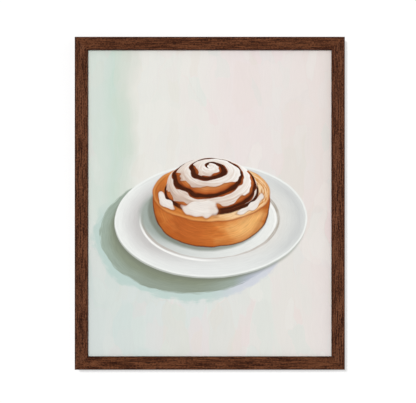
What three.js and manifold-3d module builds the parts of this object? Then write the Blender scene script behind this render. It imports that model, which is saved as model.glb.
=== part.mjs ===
// A framed 16 x 20 inch art print that hangs on a wall.
//
// Millimetres, +Z up. The picture faces -Y and the wall is the plane Y = 0. The origin is the point on the
// wall behind the middle notch of the sawtooth hanger, where the wall's nail carries the frame.
//
// From the front: four mitred wooden rails with a rabbet, clear glazing, the printed sheet, a mount board
// and a backing board, held in by ten thin steel tabs. Steel wedges pull each mitre together from the back,
// a sawtooth hanger is nailed to the top rail, and four felt pads keep the frame off the wall.

import * as THREE from "three";
import { mergeVertices } from "three/addons/utils/BufferGeometryUtils.js";
import Module from "manifold-3d";

const wasm = await Module();
wasm.setup();

// ---------------------------------------------------------------- driving dimensions

const SHEET_WIDTH = 406.4; // 16 in: print, glazing and boards are cut to one size
const SHEET_HEIGHT = 508; // 20 in
const GAP = 0.3; // between pieces that touch
const SHEET_CLEARANCE = 0.8; // between the sheets' edges and the rabbet, each side

// The moulding's section: w runs from its outer edge inwards, d from its front face back.
const FACE_WIDTH = 21.4;
const FRAME_DEPTH = 20;
const RABBET_WIDTH = 7.4;
const LIP_THICKNESS = 3.5;
const FRONT_ARRIS = 0.9; // radius of the eased front edges
const BACK_ARRIS = 0.4;
const ARRIS_SEGMENTS = 3;

const GLAZING_THICKNESS = 2;
const PAPER_THICKNESS = 0.3;
const MOUNT_BOARD_THICKNESS = 1.5;
const BACKING_THICKNESS = 3;

const TAB_THICKNESS = 0.6;
const TAB_WIDTH = 10;
const TAB_IN_WOOD = 4.5;
const TAB_POINT = 3; // length of the pointed end
const TAB_OVER_BOARD = 13; // how far it reaches from the rabbet's wall
const LONG_RAIL_TABS = [-165, 0, 165]; // places along a rail, from its middle
const SHORT_RAIL_TABS = [-110, 110];

const WEDGE_LEG = 4.5;
const WEDGE_THICKNESS = 0.8;
const WEDGE_DEPTH = 7;
const WEDGE_APEXES = [6.3, 12]; // distance of each wedge's bend from both outer edges

const PAD_RADIUS = 5;
const STAND_OFF = 2.5; // from the wall to the back of the rails
const PAD_FROM_CORNER = 30;
const PAD_SIDES = 32;

const HANGER_LENGTH = 44;
const HANGER_THICKNESS = 0.8;
const HANGER_RAISED = 24; // length of the middle stretch that stands off the rail
const HANGER_RAMP = 3;
const HANGER_LIFT = 0.9;
const HANGER_ABOVE_NOTCH = 7.2;
const NOTCH_DEPTH = 1.8;
const NOTCH_WIDTH = 1.6;
const NOTCH_PITCH = 2;
const NOTCHES_EACH_SIDE = 5;
const HANGER_BELOW_TOP = 10; // from the frame's top edge down to the notches

const BRAD_FROM_MIDDLE = 18.5;
const BRAD_BELOW_TOP = 7;
const BRAD_SHANK_RADIUS = 0.6;
const BRAD_LENGTH = 9;
const BRAD_POINT = 1.2;
const BRAD_HEAD_RADIUS = 1.9;
const BRAD_CROWN_RADIUS = 1.3; // of the flat on top of the domed head
const BRAD_HEAD_THICKNESS = 0.5;
const BRAD_SIDES = 16;

// ---------------------------------------------------------------- derived sizes and places

const RABBET_WALL = FACE_WIDTH - RABBET_WIDTH;
const FRAME_WIDTH = SHEET_WIDTH + 2 * (SHEET_CLEARANCE + RABBET_WALL);
const FRAME_HEIGHT = SHEET_HEIGHT + 2 * (SHEET_CLEARANCE + RABBET_WALL);
const CENTRE_Z = HANGER_BELOW_TOP - FRAME_HEIGHT / 2;

const BACK_Y = -STAND_OFF;
const FRONT_Y = BACK_Y - FRAME_DEPTH;
const GLAZING_Y = FRONT_Y + LIP_THICKNESS + GAP; // each of these is the layer's front face
const PAPER_Y = GLAZING_Y + GLAZING_THICKNESS + GAP;
const MOUNT_BOARD_Y = PAPER_Y + PAPER_THICKNESS + GAP;
const BACKING_Y = MOUNT_BOARD_Y + MOUNT_BOARD_THICKNESS + GAP;
const TAB_Y = BACKING_Y + BACKING_THICKNESS + GAP;

// ---------------------------------------------------------------- materials

const finish = (color, roughness, metalness = 0) =>
  new THREE.MeshStandardMaterial({ color, roughness, metalness });

const walnut = finish(0x563220, 0.5);
const pictureGlass = finish(0xf4f7f6, 0.05);
pictureGlass.transparent = true;
pictureGlass.opacity = 0.15;
const printedPaper = finish(0xe3e1da, 0.8);
const whiteBoard = finish(0xeeebe2, 0.9);
const hardboard = finish(0x7d5d40, 0.7);
const zincSteel = finish(0xa6a8aa, 0.4, 0.9);
const brassPlate = finish(0xc29a4e, 0.35, 0.9);
const felt = finish(0x4a4640, 1);

// ---------------------------------------------------------------- solids

// A closed geometry as a solid that can be cut.
function solidOf(geometry) {
  const bare = geometry.index ? geometry.toNonIndexed() : geometry.clone();
  bare.deleteAttribute("normal");
  bare.deleteAttribute("uv");
  const merged = mergeVertices(bare, 1e-4);
  return new wasm.Manifold(
    new wasm.Mesh({
      numProp: 3,
      vertProperties: merged.attributes.position.array,
      triVerts: new Uint32Array(merged.index.array),
    }),
  );
}

// The geometry that is left when every cutter has been taken out of a geometry.
function cut(geometry, cutters) {
  const left = cutters.reduce((solid, cutter) => solid.subtract(solidOf(cutter)), solidOf(geometry));
  const mesh = left.getMesh();
  const made = new THREE.BufferGeometry()
    .setAttribute("position", new THREE.BufferAttribute(mesh.vertProperties, 3))
    .setIndex(new THREE.BufferAttribute(mesh.triVerts, 1))
    .toNonIndexed();
  made.computeVertexNormals();
  return made;
}

// A box between two corners.
function boxBetween([x0, y0, z0], [x1, y1, z1]) {
  return new THREE.BoxGeometry(x1 - x0, y1 - y0, z1 - z0).translate(
    (x0 + x1) / 2,
    (y0 + y1) / 2,
    (z0 + z1) / 2,
  );
}

// A flat plate whose outline is drawn in X and Z, from frontY back by its thickness.
function plate(outline, frontY, thickness) {
  return new THREE.ExtrudeGeometry(outline, { depth: thickness, bevelEnabled: false })
    .rotateX(Math.PI / 2)
    .translate(0, frontY + thickness, 0);
}

function outlineOf(points) {
  return new THREE.Shape(points.map(([x, z]) => new THREE.Vector2(x, z)));
}

function named(name, geometry, material) {
  const mesh = new THREE.Mesh(geometry, material);
  mesh.name = name;
  return mesh;
}

// ---------------------------------------------------------------- rails

// The moulding's section in w and d, with its front and back edges eased.
function mouldingSection() {
  const section = new THREE.Shape();
  const turn = Math.PI / 2;
  section.moveTo(FRONT_ARRIS, 0);
  section.lineTo(FACE_WIDTH - FRONT_ARRIS, 0);
  section.absarc(FACE_WIDTH - FRONT_ARRIS, FRONT_ARRIS, FRONT_ARRIS, -turn, 0, false);
  section.lineTo(FACE_WIDTH, LIP_THICKNESS);
  section.lineTo(RABBET_WALL, LIP_THICKNESS);
  section.lineTo(RABBET_WALL, FRAME_DEPTH);
  section.lineTo(BACK_ARRIS, FRAME_DEPTH);
  section.absarc(BACK_ARRIS, FRAME_DEPTH - BACK_ARRIS, BACK_ARRIS, turn, 2 * turn, false);
  section.lineTo(0, FRONT_ARRIS);
  section.absarc(FRONT_ARRIS, FRONT_ARRIS, FRONT_ARRIS, 2 * turn, 3 * turn, false);
  return section;
}

// The outline of a mitre wedge, seen from behind, with its bend at (apex, apex) from a corner and both legs
// running outwards. hand is -1 for the corner at a rail's other end.
function wedgeOutline(apex, grow = 0, cornerX = 0, hand = 1) {
  const near = apex + WEDGE_THICKNESS / 2 + grow;
  const far = apex - WEDGE_THICKNESS / 2 - grow;
  const tip = apex - WEDGE_LEG - grow;
  const corners = [
    [near, near],
    [near, tip],
    [far, tip],
    [far, far],
    [tip, far],
    [tip, near],
  ];
  return outlineOf(corners.map(([x, z]) => [cornerX + hand * x, z]));
}

// The outline of a tab: pointed where it is pressed into the rabbet's wall, rounded over the board.
function tabOutline(along) {
  const half = TAB_WIDTH / 2;
  const tip = RABBET_WALL - TAB_IN_WOOD;
  const end = RABBET_WALL + TAB_OVER_BOARD;
  const outline = new THREE.Shape();
  outline.moveTo(along, tip);
  outline.lineTo(along + half, tip + TAB_POINT);
  outline.lineTo(along + half, end - half);
  outline.absarc(along, end - half, half, 0, Math.PI, false);
  outline.lineTo(along - half, tip + TAB_POINT);
  return outline;
}

// What is cut out of a rail's back: the pockets of its wedges and the slots of its tabs.
function railCutters(length, tabs) {
  const wedgePockets = [-1, 1].flatMap((end) =>
    WEDGE_APEXES.map((apex) =>
      plate(
        wedgeOutline(apex, GAP, (end * length) / 2, -end),
        BACK_Y - WEDGE_DEPTH - 2 * GAP,
        WEDGE_DEPTH + 3 * GAP,
      ),
    ),
  );
  const tabSlots = tabs.map((along) =>
    boxBetween(
      [along - TAB_WIDTH / 2 - GAP, TAB_Y - GAP, RABBET_WALL - TAB_IN_WOOD - GAP],
      [along + TAB_WIDTH / 2 + GAP, TAB_Y + TAB_THICKNESS + GAP, RABBET_WALL + GAP],
    ),
  );
  return [...wedgePockets, ...tabSlots];
}

// A rail lies along X with its outer edge at Z = 0 and its width towards +Z. Its ends are mitred, each pulled
// back so that the joint is one gap wide.
function railGeometry(length, cutters) {
  const geometry = new THREE.ExtrudeGeometry(mouldingSection(), {
    depth: length,
    steps: 1,
    bevelEnabled: false,
    curveSegments: ARRIS_SEGMENTS,
  })
    .translate(0, 0, -length / 2)
    .rotateY(-Math.PI / 2)
    .translate(0, FRONT_Y, 0);
  const position = geometry.attributes.position;
  const pulledBack = GAP / Math.SQRT2;
  for (let i = 0; i < position.count; i++) {
    const end = Math.sign(position.getX(i));
    position.setX(i, end * (length / 2 - position.getZ(i) - pulledBack));
  }
  return cut(geometry, cutters);
}

function bradHole(x) {
  const radius = BRAD_SHANK_RADIUS + GAP;
  return new THREE.CylinderGeometry(radius, radius, 2 * (BRAD_LENGTH + GAP), BRAD_SIDES).translate(
    x,
    BACK_Y,
    BRAD_BELOW_TOP,
  );
}

// One side of the frame: its rail, and the tabs pressed into that rail.
function frameSide(name, length, tabs, turn, extraCutters = []) {
  const group = new THREE.Group();
  const cutters = [...railCutters(length, tabs), ...extraCutters];
  group.add(named(`rail_${name}`, railGeometry(length, cutters), walnut));
  tabs.forEach((along, i) => {
    const tab = plate(tabOutline(along), TAB_Y, TAB_THICKNESS);
    group.add(named(`retaining_tab_${name}_${i + 1}`, tab, zincSteel));
  });
  group.rotation.y = turn;
  return group;
}

// ---------------------------------------------------------------- corner wedges

// The wedges of one corner, whose origin is the frame's outer corner with both rails on its + sides.
function cornerWedges(name, turn) {
  const group = new THREE.Group();
  WEDGE_APEXES.forEach((apex, i) => {
    const wedge = plate(wedgeOutline(apex), BACK_Y - WEDGE_DEPTH - GAP, WEDGE_DEPTH);
    group.add(named(`mitre_wedge_${name}_${i + 1}`, wedge, zincSteel));
  });
  group.rotation.y = turn;
  return group;
}

// ---------------------------------------------------------------- sheets

// A sheet of the print's size whose front face is at frontY.
function sheet(name, frontY, thickness, material) {
  const geometry = boxBetween(
    [-SHEET_WIDTH / 2, frontY, -SHEET_HEIGHT / 2],
    [SHEET_WIDTH / 2, frontY + thickness, SHEET_HEIGHT / 2],
  );
  return named(name, geometry, material);
}

// ---------------------------------------------------------------- hanger

// A bent strip, flat on the rail at its two ends and raised between them, with notches along its lower edge.
function hangerGeometry() {
  const end = HANGER_LENGTH / 2;
  const raised = HANGER_RAISED / 2;
  const foot = raised + HANGER_RAMP;
  const low = BACK_Y + GAP;
  const high = low + HANGER_LIFT;
  const wallSide = [
    [-end, low],
    [-foot, low],
    [-raised, high],
    [raised, high],
    [foot, low],
    [end, low],
  ];
  const roomSide = wallSide.map(([x, y]) => [x, y + HANGER_THICKNESS]).reverse();
  const strip = new THREE.ExtrudeGeometry(outlineOf([...wallSide, ...roomSide]), {
    depth: HANGER_ABOVE_NOTCH + NOTCH_DEPTH,
    bevelEnabled: false,
  }).translate(0, 0, -NOTCH_DEPTH);

  const cutters = [];
  const below = NOTCH_DEPTH + GAP;
  const mouth = (NOTCH_WIDTH / 2) * (below / NOTCH_DEPTH);
  for (let i = -NOTCHES_EACH_SIDE; i <= NOTCHES_EACH_SIDE; i++) {
    const x = i * NOTCH_PITCH;
    const notch = outlineOf([
      [x, 0],
      [x - mouth, -below],
      [x + mouth, -below],
    ]);
    cutters.push(plate(notch, BACK_Y, STAND_OFF));
  }
  for (const x of [-BRAD_FROM_MIDDLE, BRAD_FROM_MIDDLE]) {
    const radius = BRAD_SHANK_RADIUS + GAP;
    const hole = new THREE.CylinderGeometry(radius, radius, 2 * STAND_OFF, BRAD_SIDES);
    cutters.push(hole.translate(x, BACK_Y, HANGER_BELOW_TOP - BRAD_BELOW_TOP));
  }
  return cut(strip, cutters);
}

// A round-headed nail, turned about Y, with its point towards the front.
function bradGeometry() {
  const headFront = BACK_Y + HANGER_THICKNESS + 2 * GAP;
  const headBack = headFront + BRAD_HEAD_THICKNESS;
  const tip = headFront - BRAD_LENGTH;
  const profile = [
    [0, tip],
    [BRAD_SHANK_RADIUS, tip + BRAD_POINT],
    [BRAD_SHANK_RADIUS, headFront],
    [BRAD_HEAD_RADIUS, headFront],
    [BRAD_HEAD_RADIUS, headBack - BRAD_HEAD_THICKNESS / 2],
    [BRAD_CROWN_RADIUS, headBack],
    [0, headBack],
  ];
  return new THREE.LatheGeometry(
    profile.map(([r, y]) => new THREE.Vector2(r, y)),
    BRAD_SIDES,
  );
}

// ---------------------------------------------------------------- assembly

const picture = new THREE.Group();
picture.position.z = CENTRE_Z;

const quarter = Math.PI / 2;
const bradHoles = [bradHole(-BRAD_FROM_MIDDLE), bradHole(BRAD_FROM_MIDDLE)];

const bottom = frameSide("bottom", FRAME_WIDTH, SHORT_RAIL_TABS, 0);
bottom.position.z = -FRAME_HEIGHT / 2;
const top = frameSide("top", FRAME_WIDTH, SHORT_RAIL_TABS, 2 * quarter, bradHoles);
top.position.z = FRAME_HEIGHT / 2;
const left = frameSide("left", FRAME_HEIGHT, LONG_RAIL_TABS, quarter);
left.position.x = -FRAME_WIDTH / 2;
const right = frameSide("right", FRAME_HEIGHT, LONG_RAIL_TABS, -quarter);
right.position.x = FRAME_WIDTH / 2;
picture.add(bottom, top, left, right);

const corners = [
  ["bottom_left", -1, -1, 0],
  ["bottom_right", 1, -1, -quarter],
  ["top_right", 1, 1, 2 * quarter],
  ["top_left", -1, 1, quarter],
];
for (const [name, sideX, sideZ, turn] of corners) {
  const wedges = cornerWedges(name, turn);
  wedges.position.set((sideX * FRAME_WIDTH) / 2, 0, (sideZ * FRAME_HEIGHT) / 2);
  picture.add(wedges);

  const thickness = STAND_OFF - GAP;
  const pad = named(
    `felt_pad_${name}`,
    new THREE.CylinderGeometry(PAD_RADIUS, PAD_RADIUS, thickness, PAD_SIDES),
    felt,
  );
  pad.position.set(
    sideX * (FRAME_WIDTH / 2 - PAD_FROM_CORNER),
    -thickness / 2,
    sideZ * (FRAME_HEIGHT / 2 - RABBET_WALL / 2),
  );
  picture.add(pad);
}

picture.add(
  sheet("glazing", GLAZING_Y, GLAZING_THICKNESS, pictureGlass),
  sheet("art_print", PAPER_Y, PAPER_THICKNESS, printedPaper),
  sheet("mount_board", MOUNT_BOARD_Y, MOUNT_BOARD_THICKNESS, whiteBoard),
  sheet("backing_board", BACKING_Y, BACKING_THICKNESS, hardboard),
);

const framedPrint = new THREE.Group();
framedPrint.add(picture);
framedPrint.add(named("sawtooth_hanger", hangerGeometry(), brassPlate));
[-1, 1].forEach((sideX) => {
  const brad = named(sideX < 0 ? "hanger_nail_left" : "hanger_nail_right", bradGeometry(), brassPlate);
  brad.position.set(sideX * BRAD_FROM_MIDDLE, 0, HANGER_BELOW_TOP - BRAD_BELOW_TOP);
  framedPrint.add(brad);
});

export default framedPrint;
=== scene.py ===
"""A framed art print that hangs on a wall, finished around its CAD parts.

The frame is loaded first, and every piece takes its place and size from it. Each operator finishes one
group of pieces, and main() calls them in order.
"""

import math
from functools import partial

import bmesh
import bpy
from bpy.props import FloatProperty, FloatVectorProperty, PointerProperty
from mathutils import Matrix, Vector, noise


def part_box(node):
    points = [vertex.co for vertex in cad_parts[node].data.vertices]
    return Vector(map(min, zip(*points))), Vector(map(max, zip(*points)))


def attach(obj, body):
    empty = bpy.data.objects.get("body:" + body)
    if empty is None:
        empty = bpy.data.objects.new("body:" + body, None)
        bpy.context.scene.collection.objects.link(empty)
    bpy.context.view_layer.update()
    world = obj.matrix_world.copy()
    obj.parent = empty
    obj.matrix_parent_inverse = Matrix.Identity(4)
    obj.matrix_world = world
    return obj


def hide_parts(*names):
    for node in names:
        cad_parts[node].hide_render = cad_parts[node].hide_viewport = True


bl_info = {
    "name": "Framed Art Print",
    "version": (1, 0, 0),
    "blender": (4, 5, 0),
    "location": "3D View > Sidebar > Framed Print",
    "description": "Finishes a framed art print around its CAD parts",
    "category": "Add Mesh",
}

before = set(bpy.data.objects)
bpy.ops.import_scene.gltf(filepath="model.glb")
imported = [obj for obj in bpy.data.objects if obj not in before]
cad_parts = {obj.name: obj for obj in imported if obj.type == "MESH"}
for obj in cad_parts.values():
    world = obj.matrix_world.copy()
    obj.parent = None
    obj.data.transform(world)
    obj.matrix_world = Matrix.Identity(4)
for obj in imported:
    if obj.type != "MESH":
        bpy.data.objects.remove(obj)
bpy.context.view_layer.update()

MM = 0.001
SIDES = ("top", "bottom", "left", "right")
CORNERS = ("bottom_left", "bottom_right", "top_right", "top_left")

# The rails' outside, without the pads and the hanger behind them.
RAIL_LOW = Vector(map(min, *(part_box(f"rail_{side}")[0] for side in SIDES)))
RAIL_HIGH = Vector(map(max, *(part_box(f"rail_{side}")[1] for side in SIDES)))
FRAME_CENTRE = (RAIL_LOW + RAIL_HIGH) / 2
FRAME_HALF = (RAIL_HIGH - RAIL_LOW) / 2
FACE_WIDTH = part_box("rail_top")[1].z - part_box("rail_top")[0].z


# ---------------- colours and nodes

TONES = (0.3, 0.7)  # nearly all of a noise's tones lie between these

# What the second word of a node's kind sets.
CHOICES = {
    "Math": "operation",
    "VectorMath": "operation",
    "Mix": "data_type",
    "MapRange": "interpolation_type",
    "Mapping": "vector_type",
}


def linear(colour):
    """An sRGB hex colour as linear red, green and blue. A colour that is already linear stays as it is."""
    if not isinstance(colour, str):
        return colour
    channels = (int(colour[i : i + 2], 16) / 255 for i in (1, 3, 5))
    return [c / 12.92 if c <= 0.04045 else ((c + 0.055) / 1.055) ** 2.4 for c in channels]


def add_node(tree, kind, *values, inputs=None, stops=None, **settings):
    """Adds a shader node with its settings, values and links, and returns its output, or a list of them.

    A kind's second word is its operation or the like. Values and links go to the node's inputs in their
    order, or by name in inputs. Stops are a colour ramp's, and a colour may be hex. In the functions below,
    add is this function with its tree already given.
    """
    kind, _, choice = kind.partition(" ")
    made = tree.nodes.new("ShaderNode" + kind)
    count = len(tree.nodes)
    made.location = (count // 12 * 190, count % 12 * -170)
    if choice:
        settings[CHOICES[kind]] = choice
    for name, value in settings.items():
        setattr(made, name, value)
    pairs = list(zip([s for s in made.inputs if s.enabled], values))
    pairs += [(made.inputs[name], value) for name, value in (inputs or {}).items()]
    for socket, value in pairs:
        if isinstance(value, bpy.types.NodeSocket):
            tree.links.new(value, socket)
        else:
            socket.default_value = (*linear(value), 1) if socket.type == "RGBA" else value
    if stops:
        elements = made.color_ramp.elements
        while len(elements) < len(stops):
            elements.new(1)
        for element, (position, colour) in zip(elements, stops):
            element.position = position
            element.color = (*linear(colour), 1)
    outputs = [s for s in made.outputs if s.enabled]
    return outputs[0] if len(outputs) == 1 else outputs


def new_material(name):
    """An empty material, and the function that adds a node to it."""
    made = bpy.data.materials.new(name)
    made.use_nodes = True
    made.node_tree.nodes.clear()
    return made, partial(add_node, made.node_tree)


def place_in_mm(add, centre=(0, 0, 0), turn=(0, 0, 0)):
    """The point on the piece in millimetres from a centre, seen in a frame turned about it."""
    here = add("TexCoord")[3]
    return add("Mapping TEXTURE", here, centre, turn, (MM, MM, MM))


def mottle(add, place, size, detail=2.0, roughness=0.5):
    """Noise stretched so that its patches have a size in mm along each axis: its tone and its colour."""
    stretched = add("VectorMath DIVIDE", place, size)
    return add("TexNoise", stretched, 1.0, detail, roughness)


def swayed(add, place, pattern, reach):
    """A place moved about by a pattern's colour, by up to half the reach each way."""
    centred = add("VectorMath SUBTRACT", pattern, (0.5, 0.5, 0.5))
    return add("VectorMath MULTIPLY_ADD", centred, reach, place)


def toned(add, paint, pattern, dark, bright, tones=TONES):
    """Paint made darker and brighter by a pattern, by factors from dark to bright."""
    factor = add("MapRange", pattern, *tones, dark, bright)
    return add("VectorMath SCALE", paint, factor)


def blended(add, guide, start, end, *stops):
    """Paints that pass into one another as the guide goes from start to end."""
    way = add("MapRange", guide, start, end)
    return add("ValToRGB", way, stops=stops)[0]


def glazed(add, under, *glazes, soft=False):
    """Paint with glazes over it, each from none where its guide is at start to its most at end.

    The most that a glaze covers is a number, or a pattern where it differs from place to place. Soft glazes
    ease in and out.
    """
    fade = "MapRange SMOOTHSTEP" if soft else "MapRange"
    for guide, start, end, most, paint in glazes:
        cover = add(fade, guide, start, end, 0.0, most)
        under = add("Mix RGBA", cover, under, paint)
    return under


def surface(add, look, relief, strength, depth):
    """Ends a material with its shader's look and a relief that stands a depth in mm at full strength."""
    bump = add("Bump", inputs={"Strength": strength, "Distance": depth * MM, "Height": relief})
    shader = add("BsdfPrincipled", inputs={**look, "Normal": bump})
    add("OutputMaterial", shader)


# ---------------- settings


def colour_setting(name, description, colour):
    """A colour that the user can change."""
    shown = {"subtype": "COLOR", "size": 3, "min": 0, "max": 1}
    return FloatVectorProperty(name=name, description=description, default=linear(colour), **shown)


def length_setting(name, description, millimetres):
    """A length that the user can change."""
    length = millimetres * MM
    return FloatProperty(name=name, description=description, unit="LENGTH", min=0, default=length)


def turn_setting(name, description, degrees):
    """An angle that the user can change."""
    angle = math.radians(degrees)
    return FloatProperty(name=name, description=description, subtype="ANGLE", default=angle)


class MouldingSettings(bpy.types.PropertyGroup):
    """The stained rails."""

    deep: colour_setting("Deep stain", "Stain that has sunk into soft grain", "#2c1208")
    stain: colour_setting("Stain", "Walnut stain on most of the wood", "#55301d")
    light: colour_setting("Light stain", "Stain on the hardest grain", "#70462f")
    pore: colour_setting("Pore", "Open pores, filled with stain", "#2a140b")
    # The arris colour is painted shade, laid along the eased edges.
    arris_shade: colour_setting("Arris", "Stain that has pooled along the eased edges", "#401b0c")
    raw_wood: colour_setting("Bare wood", "Unstained wood at the back", "#bb9a72")
    edge: length_setting("Edge easing", "Width of the easing on cut edges", 0.15)
    streak_width: length_setting("Streak width", "Width of one streak of grain", 1.2)
    streak_length: length_setting("Streak length", "Length of one streak of grain", 34)


class PictureSettings(bpy.types.PropertyGroup):
    """The printed picture: an iced bun on a plate, on a pale painted ground."""

    mint: colour_setting("Mint", "Ground at the left", "#c8dbcf")
    ivory: colour_setting("Ivory", "Ground in the middle", "#e9e6e1")
    blush: colour_setting("Blush", "Ground right of the middle", "#e9e0de")
    aqua: colour_setting("Aqua", "Ground at the lower left", "#d0dcd9")
    cast_shadow: colour_setting("Cast shadow", "The plate's shadow", "#97a295")
    plate: colour_setting("Plate", "Lit porcelain", "#ebedea")
    plate_shade: colour_setting("Plate shade", "Shaded porcelain", "#c6c4c2")
    crust: colour_setting("Crust", "The bun's baked side", "#cb7433")
    crust_light: colour_setting("Lit crust", "The side where light falls on it", "#edb673")
    cinnamon: colour_setting("Cinnamon", "The filling's line", "#48200f")
    dough: colour_setting("Dough", "The turns' bare sides", "#bf6c36")
    icing: colour_setting("Icing", "Icing in the light", "#efe8e1")
    icing_shade: colour_setting("Icing shade", "Icing in the shade", "#d9c4b6")
    plate_width: length_setting("Plate width", "Width of the plate in the picture", 312)
    bun_width: length_setting("Bun width", "Width of the bun in the picture", 191)
    wobble: length_setting("Brush wobble", "How far a painted edge wanders", 5)


class HardwareSettings(bpy.types.PropertyGroup):
    """The boards, fasteners, hanger and pads behind the picture."""

    hardboard: colour_setting("Hardboard", "Backing board", "#7d5d40")
    card: colour_setting("Card", "Mount board", "#ece8de")
    zinc: colour_setting("Zinc", "Plating on the tabs and wedges", "#b6b9bb")
    brass: colour_setting("Brass", "Plating on the hanger and its nails", "#c9a35b")
    felt: colour_setting("Felt", "Wool felt of the pads", "#4b4540")
    burr: length_setting("Stamped edge", "Rounding of a stamped edge", 0.1)


class StageSettings(bpy.types.PropertyGroup):
    """The wall, floor, lights and camera."""

    wall: colour_setting("Wall", "Matt wall paint", "#ffffff")
    lens: FloatProperty(name="Lens", description="Camera focal length in mm", min=20, default=100)
    view_width: length_setting("View width", "Width that the camera sees at the frame's face", 671.3)
    camera_offset: length_setting("Camera offset", "Camera's place left of and above the middle", 2.85)
    key: FloatProperty(name="Key light", description="Strength of the frame's light", min=0, default=2.3)
    key_turn: turn_setting("Key turn", "How far left of and above the camera the frame's light stands", 5)
    wash: FloatProperty(name="Wall light", description="Strength of the wall's light", min=0, default=2.7)
    wash_turn: turn_setting("Wall turn", "How far left of and above the camera the wall's light stands", 16)


class FramedPrintSettings(bpy.types.PropertyGroup):
    """Every setting of the framed print."""

    moulding: PointerProperty(type=MouldingSettings)
    picture: PointerProperty(type=PictureSettings)
    hardware: PointerProperty(type=HardwareSettings)
    stage: PointerProperty(type=StageSettings)


# ---------------- stained walnut


def stained_walnut(name, settings, upright, warmth):
    """Walnut-stained hardwood under a thin dead-flat lacquer, planed along its grain.

    Stain sinks into the soft grain and the open pores, so they're darker than the hard grain between them.
    It stops at the front and sides: the back and the rabbet are bare wood.
    """
    made, add = new_material(name)
    half_across = (FRAME_HALF.x if upright else FRAME_HALF.z) / MM
    turn = (0, math.radians(90) if upright else 0, 0)
    here = place_in_mm(add, FRAME_CENTRE, turn)
    along, depth, across = add("SeparateXYZ", here)

    # The grain wanders a few millimetres across the rail.
    wander = mottle(add, here, (90, 40, 45))[0]
    shift = add("MapRange", wander, 0.0, 1.0, -3.0, 3.0)
    grain = add("CombineXYZ", along, depth, add("Math ADD", across, shift))

    # Streaks a millimetre or so wide, coarser than the real fibres so that they show, over broader figure,
    # with a fleck that breaks them up.
    width, length = settings.streak_width / MM, settings.streak_length / MM
    fibre = mottle(add, grain, (length, 2 * width, width), 1.0, 0.6)[0]
    figure = mottle(add, grain, (34, 15, 8), 2.0, 0.6)[0]
    fleck = mottle(add, grain, (3, 2, 1.1), 1.0, 0.6)[0]
    figure_weight, contrast = 0.3, 0.18
    average = (2 + figure_weight) / 2
    tone = add("Math ADD", fleck, add("Math MULTIPLY_ADD", figure, figure_weight, fibre))
    stained = blended(
        add, tone, average - contrast, average + contrast,
        (0.05, settings.deep), (0.5, settings.stain), (0.95, settings.light),
    )
    stained = add("VectorMath MULTIPLY", stained, warmth)

    # Pores: short dark dashes along the grain, drawn about twice their real width.
    pore = mottle(add, grain, (8, 1.3, 1.3), 1.0)[0]
    open_pore = add("MapRange", pore, 0.6, 0.72, 0.0, 0.9)
    stained = add("Mix RGBA", open_pore, stained, settings.pore)

    # Painted shade darkens the wood along the two long arrises of the face.
    from_edge = add("Math SUBTRACT", half_across, add("Math ABSOLUTE", across))
    middle = FACE_WIDTH / MM / 2
    off_centre = add("Math SUBTRACT", from_edge, middle)
    darkened = add("MapRange", add("Math ABSOLUTE", off_centre), middle - 2.2, middle - 0.6, 0.0, 0.85)
    uneven = add("MapRange", fibre, *TONES, 0.35, 1.0)
    stained = add("Mix RGBA", add("Math MULTIPLY", darkened, uneven), stained, settings.arris_shade)

    # The back and the rabbet are bare, past the stain that has crept over the outer edge.
    back = FRAME_HALF.y / MM
    lip = (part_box("glazing")[0].y - FRAME_CENTRE.y) / MM
    past_creep = add("Math SUBTRACT", from_edge, add("MapRange", fleck, *TONES, 0.3, 1.9))
    clear = add("MapRange", past_creep, 0.0, 1.5)
    behind = add("MapRange", depth, back - 0.5, back - 0.2, 0.0, clear)
    inside_wall = add("MapRange", off_centre, 1.5, 2.5)
    rabbet = add("MapRange", depth, lip - 0.6, lip - 0.2, 0.0, inside_wall)
    bare = add("Math MAXIMUM", behind, rabbet)
    raw = toned(add, settings.raw_wood, fibre, 0.8, 1.1)
    raw = add("Mix RGBA", add("Math MULTIPLY", open_pore, 0.5), raw, "#6d4e35")
    colour = add("Mix RGBA", bare, stained, raw)

    lacquer = add("MapRange", fibre, *TONES, 0.48, 0.6)
    rough = add("Mix FLOAT", bare, lacquer, 0.85)
    relief = add("Math MULTIPLY_ADD", open_pore, -0.6, fibre)
    look = {"Base Color": colour, "Roughness": rough, "IOR": 1.5, "Specular IOR Level": 0.25}
    surface(add, look, relief, 0.6, 0.15)
    return made


# ---------------- the printed picture


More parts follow.
